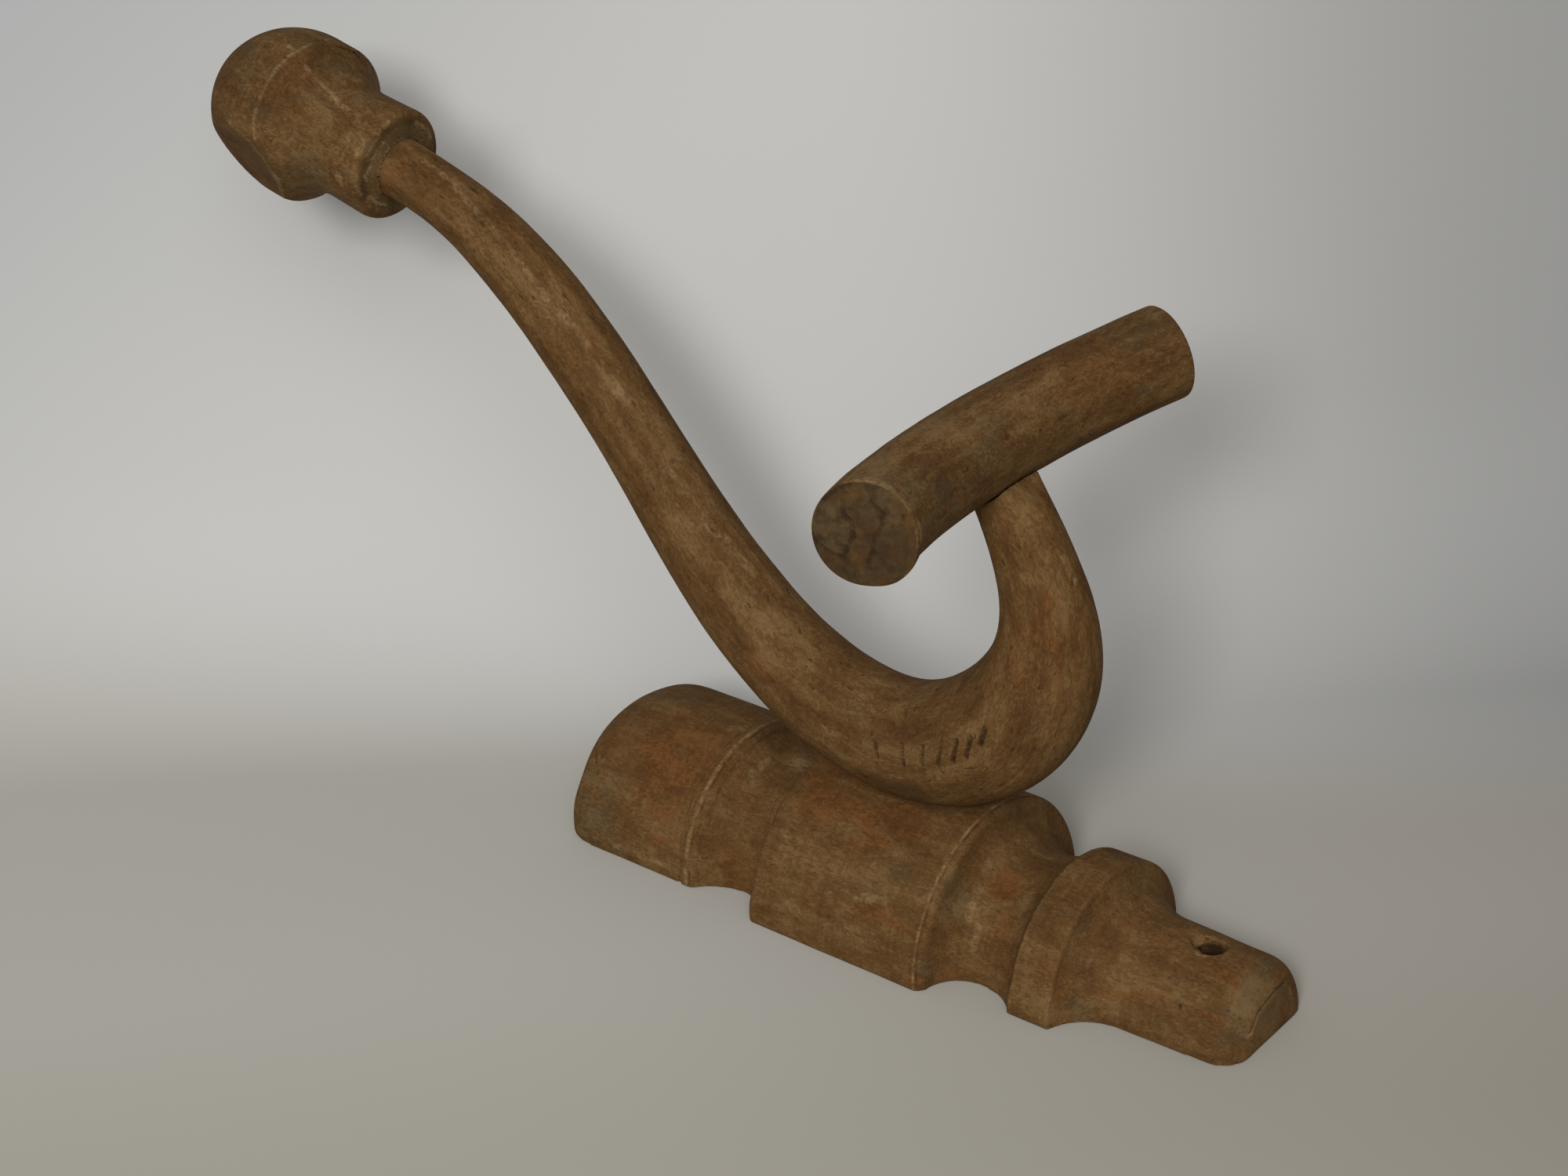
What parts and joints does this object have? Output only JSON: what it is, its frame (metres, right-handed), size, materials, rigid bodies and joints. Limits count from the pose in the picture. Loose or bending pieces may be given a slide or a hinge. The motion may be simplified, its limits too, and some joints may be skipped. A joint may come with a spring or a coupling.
{
  "type": "double wall hook",
  "caption": "Wooden double wall hook: a half-round turned base carries one bent, tapering arm that ends in a turned knob above and in a bowed crossbar over the lower hook.",
  "frame": {"origin": "on the flat back that lies against the wall, under the middle of the thick barrel of the base", "axes": "+X along the base towards its narrow end with the screw hole, which points down when the hook hangs on a wall; +Z straight out from the wall; +Y completes the frame, across the base"},
  "size_m": [0.2926, 0.1115, 0.1762],
  "materials": {
    "base_wood": "worn, dry, dark brown",
    "arm_wood": "worn, dry, brown with pale streaks",
    "knob_wood": "worn, dry, grey-brown",
    "crossbar_wood": "worn, dry, grey-brown with sawn ends",
    "peg_wood": "plain",
    "screw_steel": "dull"
  },
  "bodies": {
    "root": {"base_plate": "base_wood", "bent_arm": "arm_wood", "knob": "knob_wood", "crossbar": "crossbar_wood", "crossbar_peg": "peg_wood", "arm_screw_upper": "screw_steel", "arm_screw_lower": "screw_steel"}
  },
  "joints": []
}
